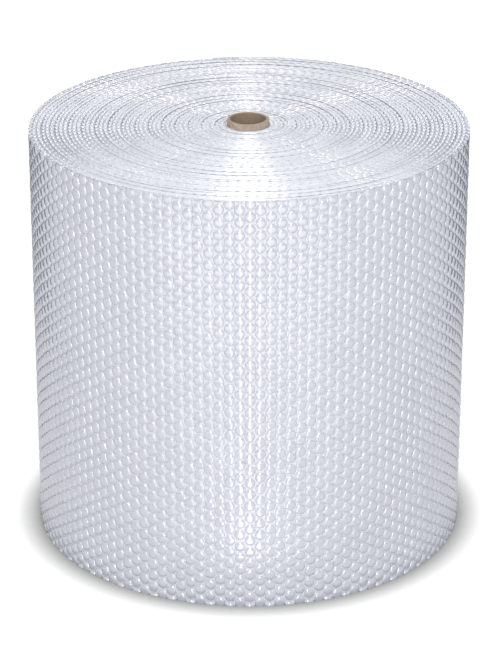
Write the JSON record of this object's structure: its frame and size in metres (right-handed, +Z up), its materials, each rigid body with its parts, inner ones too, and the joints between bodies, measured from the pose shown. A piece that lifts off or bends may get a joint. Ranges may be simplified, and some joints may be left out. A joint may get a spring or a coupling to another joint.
{
  "type": "bubble wrap roll",
  "caption": "Roll of clear bubble wrap standing on end, wound on a paper tube whose open bore takes a spindle.",
  "frame": {"origin": "middle of the tube's bore at the foot of the roll, on the surface that it stands on", "axes": "+Z up along the tube; -Y is the side that the picture shows; the loose end of the film is at the back, near +Y"},
  "size_m": [0.4135, 0.4159, 0.4055],
  "materials": {
    "film": "clear polyethylene film with round air bubbles, pale and glossy where many layers lie together",
    "core_board": "matt brown board, wound in a spiral"
  },
  "bodies": {
    "root": {"bubble_film": "film", "paper_core": "core_board"}
  },
  "joints": []
}
